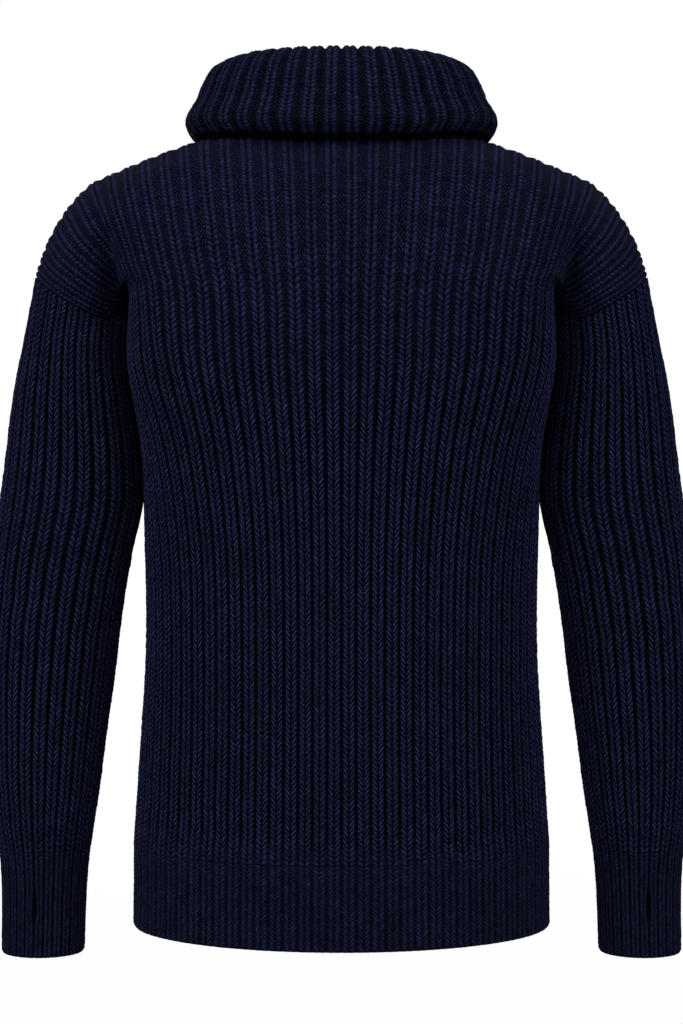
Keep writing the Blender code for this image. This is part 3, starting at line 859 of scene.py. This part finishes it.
def fan(fine, coarse, ratio):
    """Triangles between a fine row of vertices and a coarse one."""
    faces = []
    for c in range(len(coarse) - 1):
        for step in range(ratio):
            a = fine[c * ratio + step]
            b = fine[c * ratio + step + 1]
            faces.append((a, b, coarse[c] if step < ratio / 2 else coarse[c + 1]))
        faces.append((fine[c * ratio + (ratio + 1) // 2], coarse[c + 1], coarse[c]))
    return faces


def shell(node, knit, extra_first=0, extra_last=0):
    """A closed mesh from a knit's two grids, with texture coordinates in ribs and stitches.

    extra_first and extra_last are the rows of a rolled edge, which the inner grid lacks.
    """
    rows, columns = knit.outer.shape[:2]
    inner_rows, inner_columns = knit.inner.shape[:2]
    out = np.arange(rows * columns).reshape(rows, columns)
    inn = np.arange(inner_rows * inner_columns).reshape(inner_rows, inner_columns) + rows * columns
    outer_at = np.stack([np.broadcast_to(knit.u, knit.v.shape), knit.v], axis=-1)
    u_inner = knit.u[::knit.ratio][:inner_columns]
    inner_at = np.stack(np.meshgrid(u_inner, knit.rows[::knit.row_ratio]), axis=-1)
    vertex_uv = np.concatenate([outer_at.reshape(-1, 2), inner_at.reshape(-1, 2)])
    if knit.closed:
        whole = np.array([np.round(knit.u[-1] + knit.u[1] - knit.u[0]), 0.0])
        out = np.concatenate([out, out[:, :1]], axis=1)
        inn = np.concatenate([inn, inn[:, :1]], axis=1)
        outer_at = np.concatenate([outer_at, outer_at[:, :1] + whole], axis=1)
        inner_at = np.concatenate([inner_at, inner_at[:, :1] + whole], axis=1)

    def quads(ids, uv):
        faces = np.stack([ids[:-1, :-1], ids[:-1, 1:], ids[1:, 1:], ids[1:, :-1]], axis=-1)
        corners = np.stack([uv[:-1, :-1], uv[:-1, 1:], uv[1:, 1:], uv[1:, :-1]], axis=-2)
        return faces.reshape(-1, 4), corners.reshape(-1, 4, 2)

    outer_faces, outer_uv = quads(out, outer_at)
    inner_faces, inner_uv = quads(inn, inner_at)
    inner_faces = inner_faces[:, ::-1]
    inner_uv = inner_uv[:, ::-1]

    rims = [(b, a, c) for a, b, c in fan(out[0].tolist(), inn[0].tolist(), knit.ratio)]
    rims += fan(out[-1].tolist(), inn[-1].tolist(), knit.ratio)
    if not knit.closed:
        body = slice(extra_first, rows - extra_last)
        left = fan(out[body, 0].tolist(), inn[:, 0].tolist(), knit.row_ratio)
        right = fan(out[body, -1].tolist(), inn[:, -1].tolist(), knit.row_ratio)
        rims += left + [(b, a, c) for a, b, c in right]
        for extra, inner_row, first in ((extra_first, 0, True), (extra_last, -1, False)):
            for side in (0, -1):
                ids = out[:extra + 1, side] if first else out[rows - 1 - extra:, side][::-1]
                ids = ids.tolist()
                tip = int(inn[inner_row, side])
                forward = (side == 0) == first
                rims += [(a, b, tip) if forward else (b, a, tip) for a, b in zip(ids[:-1], ids[1:])]

    points = np.concatenate([knit.outer.reshape(-1, 3), knit.inner.reshape(-1, 3)]) * MM
    rim_faces = np.array(rims)
    plain = inner_rows * inner_columns
    relief = np.concatenate([knit.relief.reshape(-1), np.full(plain, INNER_RELIEF)])
    spread = np.concatenate([knit.spread.reshape(-1), np.full(plain, INNER_SPREAD)])

    data = bpy.data.meshes.new(node + "_knit")
    data.vertices.add(len(points))
    data.vertices.foreach_set("co", points.reshape(-1))
    loops = np.concatenate([outer_faces.reshape(-1), inner_faces.reshape(-1), rim_faces.reshape(-1)])
    sizes = np.concatenate([
        np.full(len(outer_faces) + len(inner_faces), 4), np.full(len(rim_faces), 3)])
    starts = np.concatenate([[0], np.cumsum(sizes)[:-1]])
    data.loops.add(len(loops))
    data.loops.foreach_set("vertex_index", loops.astype(np.int32))
    data.polygons.add(len(sizes))
    data.polygons.foreach_set("loop_start", starts.astype(np.int32))
    layer = data.uv_layers.new(name="stitches")
    uv = np.concatenate([
        outer_uv.reshape(-1, 2), inner_uv.reshape(-1, 2), vertex_uv[rim_faces.reshape(-1)]])
    layer.data.foreach_set("uv", uv.reshape(-1).astype(np.float32))
    # relief also sets the wool's painted shade where it is low, and spread sets the look of its
    # stitches
    for title, values in (("relief", np.clip(relief, 0.0, RELIEF_MOST)), ("spread", spread)):
        attribute = data.attributes.new(title, "FLOAT", "POINT")
        attribute.data.foreach_set("value", values.astype(np.float32))
    data.update(calc_edges=True)
    data.validate()
    data.shade_smooth()
    return data


# ---- materials
FUZZ = 900.0  # cells of noise a metre, and how fine they break up
WOOL = 330.0
CLOUD = 22.0
NOISE_DETAIL = 3.0
DOTS_ACROSS = 31.4  # waves of the purl dots and the plies, in radians a rib or a stitch
DOTS_ALONG = 6.283
PLIES_ACROSS = 60.0
PLIES_ALONG = 18.85
WOOL_WANDER = 6.0  # how far noise moves the dots, in radians
FUZZ_WANDER = 4.0

# Ranges over which a look comes in, and its levels at both ends where these aren't 0 and 1.
# They are in ribs from the rib's middle line, or in stitches from the crease between stitches.
# The grain and strand ranges also set painted highlights and painted shade in the colour; the purl and
# column-edge ranges lay painted shade on the gutters' floors.
GRAIN_CREASE = (0.04, 0.36)
GRAIN_MIDDLE = (0.015, 0.085)
GRAIN_EDGE = (0.375, 0.25)
STRAND_MIDDLE = (0.04, 0.13)
STRAND_EDGE = (0.32, 0.21)
STRAND_CREASE = (0.03, 0.36, 0.36, 0.90)
CROSSING_MIDDLE = (0.13, 0.05)
CROSSING_CREASE = (0.24, 0.44)
PURL_PLACE = (0.24, 0.33)
COLUMN_EDGE = (0.36, 0.27)
PURL_DOT = (0.05, 0.55)  # of the dots' waves
# painted shade: the colour darkens where the relief attribute is low, in the gutters and creases
LOW_RELIEF_PAINTED_SHADE = (0.0, 0.7, 0.35, 1.0)  # of the relief
# painted shade: the cuff slit's sunk floor is painted nearly black
SLIT_PAINTED_SHADE = (-0.6, -0.15, 0.03, 1.0)

# What a value is multiplied by, and what is then added
ROW_WANDER = (0.50, -0.25)
PURL_HEIGHT = (0.35, 0.20)
# painted light: how much lighter the purl dots are than the gutters' shaded floor, by spread
PURL_PAINTED_LIGHT = (0.85, 0.08)
SPREAD_SHADE = (-0.24, 1.0)
FUZZ_SHADE = (3.8, -0.9)
CLOUD_SHADE = (0.35, 0.82)
STITCH_SHADE = (0.50, 0.75)

CROSSING = 0.40  # how bright strands are where they cross
FUZZ_LEAST = 0.15
# the gutters' floors and the creases carry painted shade, lighter where the knit is spread
SPREAD_FLOOR = 0.06  # how much brighter floors and creases are where the knit is spread
SPREAD_GROOVE = 0.03
LEG_HEIGHT = 0.80  # heights in the bump, in shares of BUMP_DISTANCE
PLY_HEIGHT = 0.04
FUZZ_HEIGHT = 0.45
WOOL_HEIGHT = 0.45
BUMP_DISTANCE = 0.0010
WOOL_SURFACE = {
    "Roughness": 0.95,
    "Specular IOR Level": 0.03,
    "Sheen Weight": 0.02,
    "Sheen Roughness": 0.45,
    "Sheen Tint": (0.55, 0.62, 1.0, 1.0),
}


def set_inputs(node, amounts):
    """Sets a node's own inputs to uniform values."""
    for socket, amount in amounts.items():
        node.inputs[socket].default_value = amount


def knit_material(name, colour, gutter=0.05, groove=0.05, strands=0.0):
    """Matte wool: stitches from the stitch coordinates, plies and nap from fine noise.

    Where the ribs are drawn together, each stitch leg is a bright grain, a painted highlight,
    between creases darkened with painted shade; where they are spread, the legs are two strands
    with holes of painted shade between them, and the purl stitches in the wide gutters show as
    fine dots painted lighter than the gutters' floors, which carry painted shade.  Low relief
    and the cuff slit's floor are painted darker as shade too.  gutter and groove are how bright
    the gutters' floors and the creases stay under their painted shade, and strands is the least
    share of strands.
    """
    material = bpy.data.materials.new(name)
    material.use_nodes = True
    tree = material.node_tree
    nodes = tree.nodes
    shader = nodes["Principled BSDF"]

    def link(output, socket):
        tree.links.new(output, socket)

    def value(operation, *items):
        node = nodes.new("ShaderNodeMath")
        node.operation = operation
        for socket, item in zip(node.inputs, items):
            if isinstance(item, (int, float)):
                socket.default_value = item
            else:
                link(item, socket)
        return node.outputs[0]

    def times(first, second):
        return value("MULTIPLY", first, second)

    def gain(item, factor, offset):
        return value("MULTIPLY_ADD", item, factor, offset)

    def ramp(item, low, high, start=0.0, end=1.0):
        node = nodes.new("ShaderNodeMapRange")
        node.interpolation_type = "SMOOTHSTEP"
        set_inputs(node, {"From Min": low, "From Max": high, "To Min": start, "To Max": end})
        link(item, node.inputs["Value"])
        return node.outputs["Result"]

    def blend(share, first, second):
        return gain(share, value("SUBTRACT", second, first), first)

    def noise(scale):
        node = nodes.new("ShaderNodeTexNoise")
        set_inputs(node, {"Scale": scale, "Detail": NOISE_DETAIL})
        link(coordinates.outputs["Object"], node.inputs["Vector"])
        return node.outputs["Fac"]

    def attribute(title):
        node = nodes.new("ShaderNodeAttribute")
        node.attribute_name = title
        return node.outputs["Fac"]

    coordinates = nodes.new("ShaderNodeTexCoord")
    stitch = nodes.new("ShaderNodeUVMap")
    stitch.uv_map = "stitches"
    parts = nodes.new("ShaderNodeSeparateXYZ")
    link(stitch.outputs["UV"], parts.inputs[0])
    rib = parts.outputs[0]
    row = parts.outputs[1]
    raised = attribute("relief")
    spread = value("MAXIMUM", attribute("spread"), strands)
    fuzz = noise(FUZZ)
    wool = noise(WOOL)
    cloud = noise(CLOUD)

    wander = gain(wool, *ROW_WANDER)
    from_middle = value("ABSOLUTE", value("SUBTRACT", value("FRACT", rib), 0.5))
    up = value("FRACT", value("ADD", row, wander))
    to_crease = value("SUBTRACT", 0.5, value("ABSOLUTE", value("SUBTRACT", up, 0.5)))

    # the legs' shape: it sets the bump and, in the colour, painted highlights on the grains and
    # painted shade in the creases and holes
    grain = times(ramp(to_crease, *GRAIN_CREASE), ramp(from_middle, *GRAIN_MIDDLE))
    grain = times(grain, ramp(from_middle, *GRAIN_EDGE))
    strand = times(ramp(from_middle, *STRAND_MIDDLE), ramp(from_middle, *STRAND_EDGE))
    strand = times(strand, ramp(to_crease, *STRAND_CREASE))
    crossing = times(ramp(from_middle, *CROSSING_MIDDLE), ramp(to_crease, *CROSSING_CREASE))
    strand = gain(crossing, CROSSING, strand)
    leg = blend(spread, grain, strand)

    # the purl bumps in the gutters: small staggered dots
    across = gain(wool, WOOL_WANDER, times(rib, DOTS_ACROSS))
    along = gain(fuzz, FUZZ_WANDER, times(row, DOTS_ALONG))
    dots = times(value("COSINE", across), value("COSINE", along))
    purl = times(ramp(dots, *PURL_DOT), ramp(from_middle, *PURL_PLACE))

    cell = nodes.new("ShaderNodeCombineXYZ")
    link(value("FLOOR", times(rib, 2.0)), cell.inputs[0])
    link(value("FLOOR", row), cell.inputs[1])
    random = nodes.new("ShaderNodeTexWhiteNoise")
    random.noise_dimensions = "2D"
    link(cell.outputs[0], random.inputs["Vector"])

    twist = times(from_middle, PLIES_ACROSS)
    plies = value("SINE", value("ADD", times(row, PLIES_ALONG), twist))
    height = times(leg, LEG_HEIGHT)
    purl_height = gain(spread, *PURL_HEIGHT)
    for look, amount in ((purl, purl_height), (plies, PLY_HEIGHT), (fuzz, FUZZ_HEIGHT),
                         (wool, WOOL_HEIGHT)):
        height = value("ADD", height, times(look, amount))
    bump = nodes.new("ShaderNodeBump")
    set_inputs(bump, {"Strength": 1.0, "Distance": BUMP_DISTANCE})
    link(height, bump.inputs["Height"])
    link(bump.outputs["Normal"], shader.inputs["Normal"])

    # painted shade on the gutters' floors and in the creases, painted light on the purl dots and on
    # the legs' grains
    floor_painted_shade = times(purl, gain(spread, *PURL_PAINTED_LIGHT))
    floor_painted_shade = value("ADD", floor_painted_shade, gain(spread, SPREAD_FLOOR, gutter))
    crease_painted_shade = gain(spread, SPREAD_GROOVE, groove)
    column_painted_light_and_shade = gain(leg, 1.0 - groove, crease_painted_shade)
    painted_light_and_tone = blend(ramp(from_middle, *COLUMN_EDGE), floor_painted_shade, column_painted_light_and_shade)
    # the colour gets painted shade where the relief is low and in the cuff slit, and tone that varies
    # with spread, fuzz, cloud and stitch
    for part in (
        ramp(raised, *LOW_RELIEF_PAINTED_SHADE),
        ramp(raised, *SLIT_PAINTED_SHADE),
        gain(spread, *SPREAD_SHADE),
        value("MAXIMUM", gain(fuzz, *FUZZ_SHADE), FUZZ_LEAST),
        gain(cloud, *CLOUD_SHADE),
        gain(random.outputs["Value"], *STITCH_SHADE),
    ):
        painted_light_and_tone = times(painted_light_and_tone, part)
    tint = nodes.new("ShaderNodeVectorMath")
    tint.operation = "SCALE"
    set_inputs(tint, {0: colour})
    link(painted_light_and_tone, tint.inputs["Scale"])
    link(tint.outputs[0], shader.inputs["Base Color"])
    set_inputs(shader, WOOL_SURFACE)
    return material


# ---- pieces
NAVY = (0.0139, 0.0171, 0.0560)
BAND_NAVY = (0.0125, 0.0151, 0.0480)
WOOLS = {
    "rib_knit": knit_material("rib_knit_wool", NAVY),
    "collar_knit": knit_material("collar_knit_wool", NAVY),
    # the bands' gutters and creases get lighter painted shade
    "band_knit": knit_material("band_knit_wool", BAND_NAVY, gutter=0.15, groove=0.18, strands=0.8),
}

# flat sizes in metres and areas in square metres, measured along the rib crowns of the cloth
Cut = namedtuple("Cut", "size area", defaults=[None])


def add_object(name, data):
    """A new object in the scene."""
    item = bpy.data.objects.new(name, data)
    bpy.context.scene.collection.objects.link(item)
    return item


def add(node, data, slot):
    """Puts a knitted mesh in the place of a CAD node."""
    piece = add_object(node + "_knit", data)
    data.materials.append(WOOLS[slot])
    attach(piece, "root")
    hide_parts(node)


def mirrored(data, name):
    """A copy of a mesh on the other side of the centre plane, without its material."""
    copy = data.copy()
    copy.name = name
    copy.materials.clear()
    points = np.empty(len(copy.vertices) * 3)
    copy.vertices.foreach_get("co", points)
    points = points.reshape(-1, 3) * (-1.0, 1.0, 1.0)
    copy.vertices.foreach_set("co", points.reshape(-1))
    copy.flip_normals()
    copy.update()
    return copy


for side, back, seed in (("back", 1.0, 1), ("front", -1.0, 2)):
    panel = side + "_panel"
    knit = knitted(panel_crown(back), BODY_STITCHES, SIX, RIB_DEPTH, seed, BODY_INNER_ROWS,
                   heights=BODY_HEIGHTS, coarse=BODY_COARSE, end_depth=BAND_RIB_DEPTH,
                   joined=(True, False), strands_from=STRANDS_FROM)
    add(panel, shell(panel, knit), "rib_knit")
    hem = "hem_" + side
    knit = knitted(hem_crown(back), HEM_STITCHES, SIX, BAND_RIB_DEPTH, seed + 2, BAND_INNER_ROWS,
                   joined=(False, True))
    knit = with_rolled_edge(knit, False, BAND_ROLL)
    add(hem, shell(hem, knit, extra_first=RIM_ROWS), "band_knit")

knit = knitted(sleeve_crown(), SLEEVE_STITCHES, EIGHT, RIB_DEPTH, 5, SLEEVE_INNER_ROWS,
               end_depth=BAND_RIB_DEPTH, joined=(True, False))
sleeve = shell("sleeve_left", knit)
knit = knitted(cuff_crown(), CUFF_STITCHES, EIGHT, BAND_RIB_DEPTH, 6, BAND_INNER_ROWS,
               joined=(False, True), slit=CUFF_SLIT)
cuff = shell("cuff_left", with_rolled_edge(knit, False, BAND_ROLL), extra_first=RIM_ROWS)
for side in ("left", "right"):
    for kind, data, slot in (("sleeve", sleeve, "rib_knit"), ("cuff", cuff, "band_knit")):
        if side == "right":
            data = mirrored(data, kind + "_right_knit")
        add(kind + "_" + side, data, slot)

knit = knitted(collar_crown(), COLLAR_STITCHES, FOLDED, COLLAR_RIB_DEPTH, 7, COLLAR_INNER_ROWS,
               turned=True, lifted=0.0)
knit = with_rolled_edge(knit, True, COLLAR_ROLL)
# its rows start inside the fold, so its columns are reversed for the faces to point outward
knit = knit._replace(**{
    key: np.roll(getattr(knit, key)[:, ::-1], 1, axis=1)
    for key in ("outer", "inner", "v", "relief", "spread")
})
add("collar", shell("collar", knit, extra_last=RIM_ROWS), "collar_knit")

# ---- stage, light and camera
WHITE_LIGHT = {"Color": (1.0, 1.0, 1.0, 1.0), "Strength": 1.0}
FLOOR_Z = -0.95
FLOOR_RADIUS = 30.0
FLOOR_SIDES = 96
FLOOR_GREY = (0.40, 0.40, 0.405, 1.0)
FLOOR_ROUGHNESS = 0.9
FADE_NEAR = 0.3  # how far out the camera sees the floor fade to white
FADE_FAR = 2.5
NEAR_WHITE = 0.97
WORLD_LIGHT = 0.20


def mix_shaders(tree, share, first, second, output):
    """Gives an output node two shaders, mixed by a share."""
    mix = tree.nodes.new("ShaderNodeMixShader")
    for item, socket in zip((share, first, second), mix.inputs):
        tree.links.new(item, socket)
    tree.links.new(mix.outputs[0], tree.nodes[output].inputs["Surface"])


def stage_material():
    """Grey in the light that it gives back, and white or nearly white to the camera."""
    material = bpy.data.materials.new("stage_floor")
    material.use_nodes = True
    nodes = material.node_tree.nodes
    links = material.node_tree.links
    shader = nodes["Principled BSDF"]
    set_inputs(shader, {"Base Color": FLOOR_GREY, "Roughness": FLOOR_ROUGHNESS})
    glow = nodes.new("ShaderNodeEmission")
    set_inputs(glow, WHITE_LIGHT)
    coordinates = nodes.new("ShaderNodeTexCoord")
    distance = nodes.new("ShaderNodeVectorMath")
    distance.operation = "LENGTH"
    links.new(coordinates.outputs["Object"], distance.inputs[0])
    fade = nodes.new("ShaderNodeMapRange")
    fade.interpolation_type = "SMOOTHSTEP"
    set_inputs(fade, {"From Min": FADE_NEAR, "From Max": FADE_FAR, "To Min": NEAR_WHITE})
    links.new(distance.outputs["Value"], fade.inputs["Value"])
    seen = nodes.new("ShaderNodeLightPath")
    share = nodes.new("ShaderNodeMath")
    share.operation = "MULTIPLY"
    links.new(fade.outputs["Result"], share.inputs[0])
    links.new(seen.outputs["Is Camera Ray"], share.inputs[1])
    mix_shaders(material.node_tree, share.outputs[0], shader.outputs[0], glow.outputs[0],
                "Material Output")
    return material


floor_mesh = bpy.data.meshes.new("studio_floor")
angles = np.linspace(0.0, 2 * np.pi, FLOOR_SIDES + 1)[:-1]
rim = [(FLOOR_RADIUS * np.cos(a), FLOOR_RADIUS * np.sin(a), 0.0) for a in angles]
floor_mesh.from_pydata([(0.0, 0.0, 0.0)] + rim, [],
                       [(0, i + 1, (i + 1) % FLOOR_SIDES + 1) for i in range(FLOOR_SIDES)])
floor_mesh.materials.append(stage_material())
floor = add_object("studio_floor", floor_mesh)
floor.location = (0.0, 0.0, FLOOR_Z)

world = bpy.data.worlds.new("studio")
bpy.context.scene.world = world
world.use_nodes = True
background = world.node_tree.nodes["Background"]
set_inputs(background, {**WHITE_LIGHT, "Strength": WORLD_LIGHT})
white = world.node_tree.nodes.new("ShaderNodeBackground")
set_inputs(white, WHITE_LIGHT)
path = world.node_tree.nodes.new("ShaderNodeLightPath")
mix_shaders(world.node_tree, path.outputs["Is Camera Ray"], background.outputs[0],
            white.outputs[0], "World Output")

AreaLight = namedtuple("AreaLight", "name place size power")
LIGHTS = table(
    AreaLight,
    ("key", (2.1, 1.7, 1.5), 1.3, 62),
    ("second", (-2.1, 1.7, 1.5), 1.3, 50),
    ("fill", (0.1, 2.4, 1.2), 1.4, 16),
    ("front", (0.9, -2.6, 0.0), 1.4, 34),
)
LIGHT_AIM = (0.0, 0.0, -0.3)
for item in LIGHTS:
    light = bpy.data.lights.new(item.name, "AREA")
    light.shape = "DISK"
    light.size = item.size
    light.energy = item.power
    holder = add_object(item.name, light)
    holder.location = item.place
    ahead = np.array(LIGHT_AIM) - np.array(item.place)
    holder.rotation_euler = Vector(ahead).to_track_quat("-Z", "Y").to_euler()

SENSOR = 36.0
CAMERA_DISTANCE = 1500  # from the middle plane, in millimetres
CAMERA_Z = -0.3077
PHOTO_SCALE = 0.85  # millimetres to a pixel of the photograph, in the middle plane
PHOTO_HEIGHT = 1024
camera_data = bpy.data.cameras.new("camera")
camera_data.sensor_fit = "VERTICAL"
camera_data.sensor_height = SENSOR
camera_data.lens = SENSOR * (CAMERA_DISTANCE / PHOTO_SCALE) / PHOTO_HEIGHT
camera = add_object("camera", camera_data)
camera.location = (0.0, CAMERA_DISTANCE * MM, CAMERA_Z)
camera.rotation_euler = (np.pi / 2, 0.0, np.pi)
bpy.context.scene.camera = camera
bpy.context.scene.view_settings.view_transform = "Standard"
